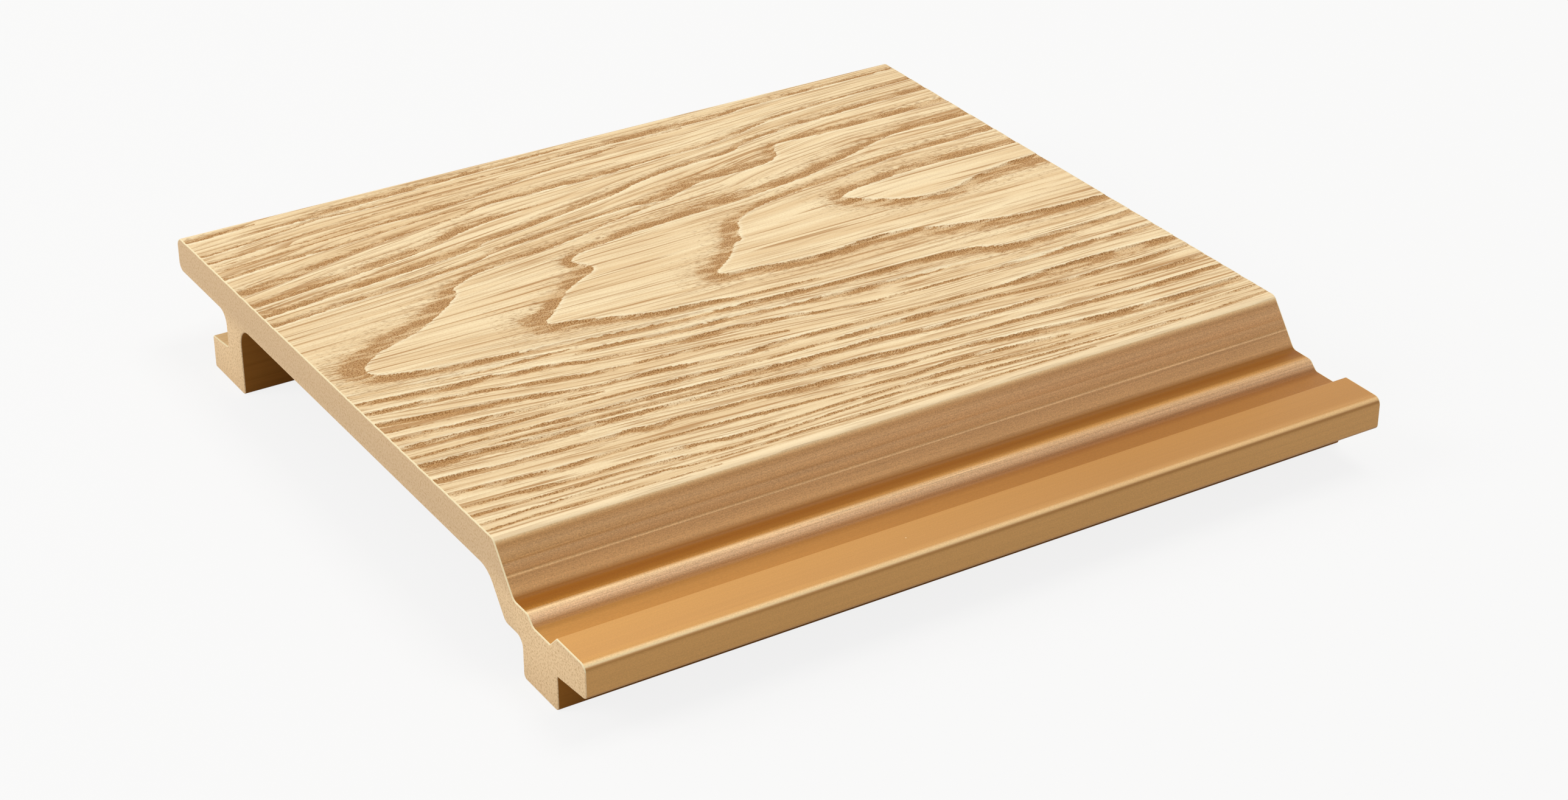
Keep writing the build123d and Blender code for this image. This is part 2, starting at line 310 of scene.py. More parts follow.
@dataclass
class GrainField:
    """The embossed grain over the whole face, worked out from its growth lines.

    Feathers are in widths of a line. All other sizes are in millimetres.
    """

    lines: tuple[GrowthLine, ...] = GROWTH_LINES
    step: float = 0.5
    reach: float = 9.0
    least_width: float = 0.15
    end_slack: float = 0.3
    arch_feather: float = 2.8
    line_feather: float = 1.7
    most_share: float = 3.0
    soft_side_fall: float = 3.0
    thin_width: float = 0.9
    thin_fall: float = 2.0
    end_fall: float = 4.0
    full_depth_width: float = 1.6
    thinnest_depth: float = 0.25
    wall: float = 0.35
    floor_start: float = 1.25
    floor_reach: float = 0.6
    floor_curve: float = 0.8
    fibre_smoothing: float = 16.0
    arch_axis: float = 62.0
    beyond_lip: float = -3.0

    def walk(self, line: GrowthLine) -> np.ndarray:
        """Points along a line at an even step, with its soft side on the right hand.

        Args:
            line: The line as drawn.

        Returns:
            Rows of along, across and width.
        """
        points = np.array(line.points, float)
        if line.soft_side is SoftSide.LIP:
            points = points[::-1]
        before, after = 2 * points[0] - points[1], 2 * points[-1] - points[-2]
        knots = np.vstack([before, points, after])
        spans = []
        for a, b, c, d in zip(knots[:-3], knots[1:-2], knots[2:-1], knots[3:]):
            count = max(2, int(np.hypot(*(c - b)[:2]) / self.step))
            t = np.linspace(0, 1, count, endpoint=False)[:, None]
            bend = 2 * b + (c - a) * t + (2 * a - 5 * b + 4 * c - d) * t**2 + (3 * b - a - 3 * c + d) * t**3
            spans.append(bend / 2)
        walked = np.vstack([*spans, points[-1:]])
        walked[:, 2] = np.maximum(walked[:, 2], self.least_width)
        return walked

    def press(self, places: np.ndarray) -> Imprint:
        """Work out the imprint at each place.

        Args:
            places: Rows of along and across, in millimetres.

        Returns:
            The imprint, with one value for each place.
        """
        count = len(places)
        made = Imprint(np.full(count, -self.reach), np.full(count, self.most_share),
                       np.full(count, -self.reach), np.zeros(count))
        for line in self.lines:
            walked = self.walk(line)
            low, high = walked[:, :2].min(0) - self.reach, walked[:, :2].max(0) + self.reach
            near = np.flatnonzero(((places > low) & (places < high)).all(1))
            log.debug("%s: near %d places", line.name, len(near))
            heading = np.gradient(walked[:, :2], axis=0)
            heading /= np.linalg.norm(heading, axis=1)[:, None]
            right_hand = np.stack([-heading[:, 1], heading[:, 0]], 1)
            gaps = places[near, None, :] - walked[None, :, :2]
            closest = (gaps**2).sum(2).argmin(1)
            offset = gaps[np.arange(len(near)), closest]
            aside = (offset * right_hand[closest]).sum(1)
            distance = np.hypot(offset[:, 0], offset[:, 1])
            at_end = (closest == 0) | (closest == len(walked) - 1)
            past_end = at_end & (distance > np.abs(aside) + self.end_slack)
            signed = np.where(past_end, -distance, np.sign(aside) * distance)
            width = walked[closest, 2]
            feather = self.arch_feather if line.soft_side is SoftSide.AROUND else self.line_feather
            gate = np.minimum(signed, feather * width - signed)
            wins = gate > made.gate[near]
            chosen = near[wins]
            made.gate[chosen] = gate[wins]
            share = signed / width
            share = share + np.clip(share - 1, 0, self.most_share) * (self.arch_feather / feather - 1)
            made.share[chosen] = np.clip(share, 0, self.most_share)[wins]
            edge = np.where(signed < 0, signed, -self.soft_side_fall * signed)
            edge -= self.thin_fall * np.clip(self.thin_width - width, 0, 1) + self.end_fall * past_end
            made.edge[near] = np.maximum(made.edge[near], edge)
            made.depth[near] = np.maximum(made.depth[near], self.depth(signed, width))
        return made

    def depth(self, signed: np.ndarray, width: np.ndarray) -> np.ndarray:
        """How deep the roller pressed beside one line, from nothing to one.

        Args:
            signed: Distance from the clean edge, above zero on the soft side.
            width: Width of the line.

        Returns:
            The share of the full depth.
        """
        wall = np.clip((signed + self.wall / 2) / self.wall, 0, 1)
        wall = wall * wall * (3 - 2 * wall)
        floor = np.clip(self.floor_start - signed / (width + self.floor_reach), 0, 1) ** self.floor_curve
        wide = width / self.full_depth_width
        return wall * floor * np.clip(self.thinnest_depth + (1 - self.thinnest_depth) * wide, 0, 1)

    def fibre(self, places: np.ndarray) -> np.ndarray:
        """Which fibre runs through each place, named by its mean place across.

        Args:
            places: Rows of along and across.

        Returns:
            The fibre's mean place across, in millimetres.
        """
        columns = np.round(places[:, 0], 3)
        along = np.unique(columns)
        steps = np.arange(along[0], along[-1] + self.step, self.step)
        reach = int(self.fibre_smoothing / self.step)
        even = np.ones(2 * reach + 1) / (2 * reach + 1)
        guides = [np.full(len(along), across)
                  for across in (self.beyond_lip, self.arch_axis, places[:, 1].max() + 1)]
        for line in self.lines:
            if line.guide:
                walked = self.walk(line)
                walked = walked[np.argsort(walked[:, 0])]
                across = np.interp(steps, walked[:, 0], walked[:, 1])
                padded = np.pad(across, reach, mode="reflect", reflect_type="odd")
                guides.append(np.interp(along, steps, np.convolve(padded, even, "valid")))
        heights = np.sort(np.array(guides), axis=0)
        named = heights.mean(axis=1)
        result = np.zeros(len(places))
        for index, column in enumerate(along):
            here = columns == column
            result[here] = np.interp(places[here, 1], heights[:, index], named)
        return result


class Ground(Enum):
    """What a pattern lies on: the flat face, in millimetres, or the whole solid, in metres."""

    FACE = "2D"
    SOLID = "3D"


@dataclass(frozen=True)
class Pattern:
    """A soft random pattern of a real size.

    The length is its period along the panel and the pitch its period to the side, in
    millimetres. The detail is how many finer layers it has. The shift moves it, so that no
    two patterns fall together. The limits are those of its share, as a finish gives them.
    """

    length: float
    pitch: float
    detail: float = 2.0
    shift: float = 0.0
    limits: Limits = (0.0, 1.0)
    roughness: float = 0.55

    def lay(self, tree: NodeTree, place: Source, ground: Ground = Ground.FACE) -> Node:
        """Add the pattern to a tree.

        Args:
            tree: The tree that gets the nodes.
            place: What gives the places.
            ground: What the places are on.

        Returns:
            The node that gives the pattern, about 0.5 in its middle.
        """
        unit = MM if ground is Ground.SOLID else 1.0
        scale = [1 / (size * unit) for size in (self.length, self.pitch, self.pitch)]
        scaled = add_node(tree, "Mapping", {
            "Vector": place, "Location": (self.shift, self.shift, 0.0), "Scale": scale})
        return add_node(tree, "TexNoise", {
            "Vector": scaled, "Scale": 1.0, "Detail": self.detail, "Roughness": self.roughness},
            noise_dimensions=ground.value)

    def share(self, tree: NodeTree, place: Source) -> Node:
        """Add the pattern on the face and return the node that gives its share."""
        return add_node(tree, "MapRange", (self.lay(tree, place), *self.limits), **SMOOTH)

    def sway(self, tree: NodeTree, place: Source, width: float, base: Source) -> Node:
        """Let a value swing with the pattern, on the face.

        Args:
            tree: The tree that gets the nodes.
            place: What gives the places.
            width: The whole swing.
            base: The value that swings.

        Returns:
            The node that gives the swinging value.
        """
        centred = add_node(tree, "Math", (self.lay(tree, place), 0.5), operation="SUBTRACT")
        return add_node(tree, "Math", (centred, width, base), operation="MULTIPLY_ADD")


@dataclass(frozen=True)
class Finish:
    """A finish of wood-plastic composite: how it takes light. Each kind paints itself."""

    name: str
    roughness: float
    sheen: float
    bump_strength: float
    bump_depth: float = 0.1
    ior: float = 1.46

    def paint(self, tree: NodeTree) -> tuple[Source, Source]:
        """Add the nodes of this finish and return those of its colour and its height."""
        raise NotImplementedError

    def make(self) -> Material:
        """Build the material.

        Returns:
            The new material.
        """
        material = bpy.data.materials.new(self.name)
        material.use_nodes = True
        tree = material.node_tree
        tree.nodes.clear()
        colour, height = self.paint(tree)
        bump = add_node(tree, "Bump", {
            "Height": height, "Strength": self.bump_strength, "Distance": self.bump_depth * MM})
        shader = add_node(tree, "BsdfPrincipled", {
            "Base Color": colour, "Roughness": self.roughness, "Normal": bump, "IOR": self.ior,
            "Specular IOR Level": self.sheen})
        add_node(tree, "OutputMaterial", {"Surface": shader})
        return material


@dataclass(frozen=True)
class EmbossedFace(Finish):
    """Wood-plastic composite under a grain roller: pale raised wood, brown where it is pressed in.

    The raised wood is matt cream with fine darker fibres along it. A painted highlight lies beside each clean
    edge of a pressed line, and another along the face's corner over the slope. In the lines the darker core
    shows as coarse brown grit, which ends clean on one side and thins out along the fibres on the other.
    Limits say where a share starts and stops changing, and then, if it isn't from nothing to one, from what
    to what.
    """

    name: str = "embossed_composite_face"
    roughness: float = 0.62
    sheen: float = 0.35
    bump_strength: float = 0.9
    bump_depth: float = 1.0

    # Raised wood, its painted rim highlight, its hairlines and the painted highlight on its corner, then the
    # grit in the pressed lines
    cream: str = "#FAE4B8"
    rim_highlight: str = "#FFF3D0"
    corner_highlight: str = "#FFE6BA"
    tan: str = "#DEB883"
    hair_brown: str = "#B28046"
    grit_dark: str = "#976428"
    grit_light: str = "#C99A60"

    # The clean edge swings and frays by up to half a millimetre in all
    edge_swing: Pattern = Pattern(6.0, 2.5)
    edge_fray: Pattern = Pattern(0.6, 0.3, shift=13.0)
    edge_wander: float = 0.5
    inside_limits: Limits = (-0.32, -0.12)

    # Brown thins out from the clean edge: the core is full and the tail is scattered grit
    thinning: Pattern = Pattern(1.8, 0.35, 3.0, 5.0)
    thinning_swing: float = 1.2
    core_limits: Limits = (0.7, 1.3, 1.0, 0.0)
    tail_limits: Limits = (1.0, 2.7, 0.8, 0.0)
    patches: Pattern = Pattern(9.0, 1.6, 2.0, 91.0, (0.36, 0.54, 0.45, 1.0))

    # Grit of 0.2 mm is coarser than the real flour, which is too fine to show
    grit: Pattern = Pattern(0.32, 0.20, 3.0, 7.0)
    ticks: Pattern = Pattern(1.5, 0.24, 2.0, 31.0)
    grit_threshold: float = 0.70
    grit_crowding: float = -0.22
    grit_limits: Limits = (-0.08, 0.14, 0.0, 0.95)
    tail_darkness: float = 0.65
    tail_stain: float = 0.12
    core_stain: float = 0.9

    # Rings between the pressed lines, then hairlines, soft tones and flour
    bunches: Pattern = Pattern(50.0, 6.0, 1.0, 71.0)
    bunching: float = 4.0
    ring_pitch: float = 1.3
    ring_fade: float = 3.0
    ring_breaks: Pattern = Pattern(20.0, 1.4, 2.0, 17.0, (0.38, 0.58))
    calm_share: float = 0.3
    long_hairs: Pattern = Pattern(48.0, 0.9, 2.0, 3.0, (0.59, 0.72))
    short_hairs: Pattern = Pattern(19.2, 0.45, 2.0, 43.0, (0.58, 0.74))
    hair_strength: float = 0.85
    tones: Pattern = Pattern(70.0, 1.8, 4.0, 11.0, (0.28, 0.74, 0.0, 0.65))
    flour: Pattern = Pattern(0.408, 0.17, 2.0, 19.0)
    flour_limits: Limits = (0.42, 0.66, 0.0, 0.30)

    # Painted highlight beside a clean edge, and painted highlight on the face's corner over the slope, in
    # millimetres
    rim_highlight_limits: Limits = (-1.3, -0.2, 0.0, 0.55)
    corner_from: float = -47.3
    corner_to: float = -48.2
    corner_highlight_share: float = 0.6

    # Height of each, in millimetres
    grit_height: float = -0.035
    hair_height: float = -0.05
    flour_height: float = 0.05

    def paint(self, tree: NodeTree) -> tuple[Source, Source]:
        """Add the face's nodes, which read the attributes growth and fibre.

        Args:
            tree: The tree that gets the nodes.

        Returns:
            What gives the colour and what gives the height.
        """
        add = partial(add_node, tree)
        gate, share, edge = add("SeparateXYZ", (
            add("Attribute", attribute_name="growth").outputs["Vector"],)).outputs
        fibre, busy, _ = add("SeparateXYZ", (
            add("Attribute", attribute_name="fibre").outputs["Vector"],)).outputs
        x, y, _ = add("SeparateXYZ", (add("TexCoord").outputs["Object"],)).outputs
        along = add("Math", (x, 1 / MM), operation="MULTIPLY")
        aside = add("Math", (y, -1 / MM), operation="MULTIPLY")
        on_face = add("CombineXYZ", (along, aside))
        on_fibre = add("CombineXYZ", (along, fibre))

        wandering = self.edge_swing.sway(tree, on_face, self.edge_wander, gate)
        wandering = self.edge_fray.sway(tree, on_face, self.edge_wander, wandering)
        inside = add("MapRange", (wandering, *self.inside_limits), **SMOOTH)
        thinned = self.thinning.sway(tree, on_face, self.thinning_swing, share)
        core = add("MapRange", (thinned, *self.core_limits), **SMOOTH)
        tail = add("MapRange", (thinned, *self.tail_limits), **SMOOTH)
        patchy = self.patches.share(tree, on_face)

        # Grit stands where a mottle rises over a threshold, which is lower where grit is dense
        either = add("Math", (core, tail), operation="MAXIMUM")
        density = add("Math", (either, patchy), operation="MULTIPLY")
        threshold = add("Math", (density, self.grit_crowding, self.grit_threshold), operation="MULTIPLY_ADD")
        mottle = add("Mix", {0: core, 2: self.ticks.lay(tree, on_face), 3: self.grit.lay(tree, on_face)})
        over = add("Math", (mottle, threshold), operation="SUBTRACT")
        speck = add("MapRange", (over, *self.grit_limits), **SMOOTH)
        darkness = add("Math", (core, 1 - self.tail_darkness, self.tail_darkness), operation="MULTIPLY_ADD")
        shown = add("Math", (inside, darkness), operation="MULTIPLY")
        dark = add("Math", (speck, shown), operation="MULTIPLY")
        faint = add("Math", (tail, self.tail_stain), operation="MULTIPLY")
        soaked = add("Math", (add("Math", (core, faint), operation="MAXIMUM"), patchy), operation="MULTIPLY")
        stained = add("Math", (inside, self.core_stain), operation="MULTIPLY")
        stain = add("Math", (soaked, stained), operation="MULTIPLY")

        # Each ring starts clean towards the arches and fades away from them
        from_axis = add("Math", (fibre, GrainField.arch_axis), operation="SUBTRACT")
        from_axis = add("Math", (from_axis,), operation="ABSOLUTE")
        bunched = add("Math", (self.bunches.lay(tree, on_fibre), self.bunching, from_axis),
                      operation="MULTIPLY_ADD")
        rings = add("Math", (bunched, self.ring_pitch), operation="DIVIDE")
        ring = add("Math", (1.0, add("Math", (rings,), operation="FRACT")), operation="SUBTRACT")
        ring = add("Math", (ring, self.ring_fade), operation="POWER")
        ring = add("Math", (ring, self.ring_breaks.share(tree, on_fibre)), operation="MULTIPLY")
        busy = add("Math", (busy, 1 - self.calm_share, self.calm_share), operation="MULTIPLY_ADD")
        short = add("Math", (self.short_hairs.share(tree, on_fibre), ring), operation="MAXIMUM")
        short = add("Math", (short, busy), operation="MULTIPLY")
        hair = add("Math", (self.long_hairs.share(tree, on_fibre), short), operation="MAXIMUM")
        flour = self.flour.lay(tree, on_face)

        # From the raised wood up to the grit, each layer covers a share of the one before
        colour = linear_colour(self.cream)
        corner = (y, self.corner_from * MM, self.corner_to * MM, 0.0, self.corner_highlight_share)
        for amount, code in (
                (self.tones.share(tree, on_fibre), self.tan),
                # painted highlight beside a clean edge
                (add("MapRange", (edge, *self.rim_highlight_limits), **SMOOTH), self.rim_highlight),
                (add("MapRange", (flour, *self.flour_limits), **SMOOTH), self.tan),
                (add("Math", (hair, self.hair_strength), operation="MULTIPLY"), self.hair_brown),
                # painted highlight on the face's corner over the slope
                (add("MapRange", corner, **SMOOTH), self.corner_highlight),
                (stain, self.grit_light),
                (dark, self.grit_dark)):
            colour = add("Mix", {0: amount, 6: colour, 7: linear_colour(code)}, data_type="RGBA")

        height = add("Math", (hair, self.hair_height), operation="MULTIPLY")
        height = add("Math", (dark, self.grit_height, height), operation="MULTIPLY_ADD")
        return colour, add("Math", (flour, self.flour_height, height), operation="MULTIPLY_ADD")


@dataclass(frozen=True)
class MouldedTint:
    """The skin at one place across the moulded side.

    The place is in millimetres from the lip edge. The near end and far end colours hold painted light and
    shade, and their difference is painted light along the length. The brushed share is how strongly the die's
    fine lines show, from nothing to one.
    """

    across: float
    near_end: str
    far_end: str
    brushed: float


# From the grained face down to the tongue. The amber is deepest in the two hollows, the valley at the foot of
# the slope and the channel, as painted shade, and palest on the crest and the tongue's rounded edge, as
# painted highlights. The change from each near end colour to its far end colour is painted light along the
# length.
MOULDED_TINTS_AND_PAINTED_LIGHT = (
    MouldedTint(126.9, "#FBE6B8", "#F6DDAC", 0.3),  # corner of the face
    MouldedTint(127.4, "#D6A972", "#D8AC78", 0.4),
    MouldedTint(127.7, "#BC8D58", "#C0905E", 0.5),  # top of the slope
    MouldedTint(128.5, "#CB9F6D", "#CC9E6E", 0.5),
    MouldedTint(129.3, "#C4945D", "#C99765", 0.5),
    MouldedTint(129.42, "#B5834C", "#BE8B57", 0.5),  # faint die line
    MouldedTint(129.55, "#CA9E6D", "#C99B6B", 0.5),
    MouldedTint(130.5, "#BE8C57", "#C3925F", 0.5),
    MouldedTint(130.6, "#A57A48", "#AA7F4E", 0.5),  # die line: a dark scratch with a painted highlight just under it
    MouldedTint(130.74, "#F0C48C", "#EEC28E", 0.5),
    MouldedTint(130.88, "#BF905D", "#C09262", 0.5),
    MouldedTint(132.3, "#DAA86F", "#D0A06C", 0.4),
    MouldedTint(132.95, "#9A5F14", "#915A14", 0.2),  # foot of the slope: painted shade in the valley
    MouldedTint(134.4, "#94570E", "#8C530C", 0.2),
    MouldedTint(135.7, "#9A5E12", "#9C6520", 0.3),
    MouldedTint(136.5, "#AF7429", "#C48E4B", 0.6),
    MouldedTint(137.3, "#F9D39F", "#D5AA78", 1.0),  # crest: painted highlight
    MouldedTint(138.25, "#EAC296", "#D8AE82", 0.9),  # riser: painted sheen
    MouldedTint(139.1, "#B07C44", "#9C6836", 0.4),
    MouldedTint(139.9, "#AF7A38", "#975F24", 0.2),  # channel: painted shade
    MouldedTint(141.2, "#BF8743", "#A66E2E", 0.15),
    MouldedTint(143.6, "#C68C46", "#A87030", 0.15),
    MouldedTint(146.6, "#C98F48", "#B17838", 0.15),
    MouldedTint(147.1, "#D8A05B", "#BF8846", 0.12),  # ridge
    MouldedTint(153.6, "#D59D5B", "#BD8748", 0.12),  # flat of the tongue
    MouldedTint(154.9, "#DAA25C", "#CB9657", 0.2),
    MouldedTint(155.3, "#FFDBA2", "#EEC48A", 0.3),  # its rounded edge: painted highlight
    MouldedTint(155.6, "#FFE6B4", "#E9BE84", 0.2),
    # a painted dark line of shade under the highlight
    MouldedTint(155.78, "#C48F56", "#A67440", 0.1),
    MouldedTint(155.88, "#B5844A", "#AC7C44", 0.1),
    MouldedTint(156.0, "#DBA664", "#D9A463", 0.2),  # tongue front
)


@dataclass(frozen=True)
class MouldedSkin(Finish):
    """Extruded wood-plastic composite as it leaves the die: satin amber, finely lined along it.

    A few pale nicks from handling lie on the flat of the tongue. The tints hold painted shade in the hollows
    and painted highlights on the crest and the tongue's rounded edge. The change from the near end's tint to
    the far end's is painted light along the length, and is complete by a sixth of the length past the middle.
    Sizes are in millimetres, and places across are from the lip edge.
    """

    name: str = "extruded_composite_skin"
    roughness: float = 0.5
    sheen: float = 0.22
    bump_strength: float = 0.35
    tints_and_painted_light: tuple[MouldedTint, ...] = MOULDED_TINTS_AND_PAINTED_LIGHT
    nick: str = "#F3DDB0"
    lip_edge: float = 78.0
    tinted_from: float = 126.5
    width: float = 156.0
    near_end: float = -78.5
    painted_light_faded_by: float = 157.0 / 6
    lines: Pattern = Pattern(32.0, 0.28, 3.0, roughness=0.6)
    sand: Pattern = Pattern(0.272, 0.17, roughness=0.6)
    contrast_limits: Limits = (0.3, 0.7, -0.2, 0.2)
    sanded_limits: Limits = (0.1, 0.5, 0.25, 1.0)
    nick_spacing: float = 3.4
    nick_limits: Limits = (0.02, 0.045, 0.9, 0.0)
    nick_patches: Pattern = Pattern(14.0, 9.0, 0.0, roughness=0.6)
    nick_patch_limits: Limits = (0.56, 0.60)
    nicked_from: float = 148.0
    nicked_to: float = 154.0
    nicked_border: float = 0.3

    def paint(self, tree: NodeTree) -> tuple[Source, Source]:
        """Add the skin's nodes, which read Object coordinates.

        Args:
            tree: The tree that gets the nodes.

        Returns:
            What gives the colour and what gives the height.
        """
        add = partial(add_node, tree)
        place = add("TexCoord").outputs["Object"]
        x, y, _ = add("SeparateXYZ", (place,)).outputs
        across = add("MapRange", (y, (self.lip_edge - self.tinted_from) * MM,
                                  (self.lip_edge - self.width) * MM, self.tinted_from, self.width))
        tinted = add("MapRange", (across, self.tinted_from, self.width))
        ends = []
        for codes in ([tint.near_end for tint in self.tints_and_painted_light], [tint.far_end for tint in self.tints_and_painted_light]):
            tone = add("ValToRGB", (tinted,))
            stops = tone.color_ramp.elements
            while len(stops) < len(self.tints_and_painted_light):
                stops.new(1.0)
            for stop, tint, code in zip(stops, self.tints_and_painted_light, codes):
                stop.position = (tint.across - self.tinted_from) / (self.width - self.tinted_from)
                stop.color = (*linear_colour(code)[:3], tint.brushed)
            ends.append(tone)
        # Painted light along the length: the near end's tints give way to the far end's
        along = add("MapRange", (x, self.near_end * MM, self.painted_light_faded_by * MM))
        base = add("Mix", {0: along, 6: ends[0], 7: ends[1]}, data_type="RGBA")

        lined = ends[0].outputs["Alpha"]
        brushed = add("MapRange", (self.lines.lay(tree, place, Ground.SOLID), *self.contrast_limits))
        sanded = add("MapRange", (self.sand.lay(tree, place, Ground.SOLID), *self.contrast_limits))
        sand_share = add("MapRange", (lined, *self.sanded_limits))
        sanded = add("Math", (sanded, sand_share), operation="MULTIPLY")
        texture = add("Math", (brushed, lined, sanded), operation="MULTIPLY_ADD")
        value = add("Math", (texture, 1.0), operation="ADD")
        colour = add("HueSaturation", {"Value": value, "Color": base})

        cells = add("TexVoronoi", {"Vector": place, "Scale": 1 / (self.nick_spacing * MM), "Randomness": 1.0})
        patches = self.nick_patches.lay(tree, place, Ground.SOLID)
        nicks = add("MapRange", (cells.outputs["Distance"], *self.nick_limits))
        for limited in (
                (patches, *self.nick_patch_limits),
                (across, self.nicked_from, self.nicked_from + self.nicked_border),
                (across, self.nicked_to, self.nicked_to + self.nicked_border, 1.0, 0.0)):
            nicks = add("Math", (nicks, add("MapRange", limited)), operation="MULTIPLY")
        return add("Mix", {0: nicks, 6: colour, 7: linear_colour(self.nick)}, data_type="RGBA"), texture


@dataclass(frozen=True)
class PlainSkin(Finish):
    """The skin on the back, out of the die and left as it is: matt, with faint lines along it."""

    name: str = "extruded_composite_back"
    roughness: float = 0.6
    sheen: float = 0.06
    bump_strength: float = 0.25
    # The back's amber is partly painted shade: darker than the moulded side's skin, for the shade under the
    # plate
    amber: str = "#9E682A"
    streak: str = "#85561C"
    lines: Pattern = Pattern(30.0, 0.6, 3.0, roughness=0.6)
    line_limits: Limits = (0.45, 0.72, 0.0, 0.35)

    def paint(self, tree: NodeTree) -> tuple[Source, Source]:
        """Add the skin's nodes and return those of its colour and its height."""
        lines = self.lines.lay(tree, add_node(tree, "TexCoord").outputs["Object"], Ground.SOLID)
        share = add_node(tree, "MapRange", (lines, *self.line_limits), **SMOOTH)
        return add_node(tree, "Mix", {
            0: share, 6: linear_colour(self.amber), 7: linear_colour(self.streak)}, data_type="RGBA"), lines


@dataclass(frozen=True)
class SawnEnd(Finish):
    """Wood-plastic composite cut by a fine saw: matt tan, with small grey-brown flecks of flour.

    The plate's end, above the foot and the tongue, is painted darker: painted shade. There are 2.6 flecks to
    the millimetre.
    """

    name: str = "sawn_composite_end"
    roughness: float = 0.75
    sheen: float = 0.5
    bump_strength: float = 0.4
    ior: float = 1.48
    # Lower and upper colours of the end; the darker upper part is painted shade
    low_flour: str = "#F3D2A4"
    high_shaded_flour: str = "#DDBD94"
    fleck: str = "#C39C69"
    shade_from: float = 12.0
    shade_to: float = 16.0
    flecks: Pattern = Pattern(1 / 2.6, 1 / 2.6, 4.0, roughness=0.65)
    fleck_limits: Limits = (0.42, 0.76)

    def paint(self, tree: NodeTree) -> tuple[Source, Source]:
        """Add the end's nodes, which read Object coordinates.

        Args:
            tree: The tree that gets the nodes.

        Returns:
            What gives the colour and what gives the height.
        """
        add = partial(add_node, tree)
        place = add("TexCoord").outputs["Object"]
        flecks = self.flecks.lay(tree, place, Ground.SOLID)
        share = add("MapRange", (flecks, *self.fleck_limits), **SMOOTH)
        z = add("SeparateXYZ", (place,)).outputs["Z"]
        # painted shade on the upper part of the end
        height = add("MapRange", (z, self.shade_from * MM, self.shade_to * MM))
        flour = add("Mix", {
            0: height, 6: linear_colour(self.low_flour), 7: linear_colour(self.high_shaded_flour)}, data_type="RGBA")
        return add("Mix", {0: share, 6: flour, 7: linear_colour(self.fleck)}, data_type="RGBA"), flecks


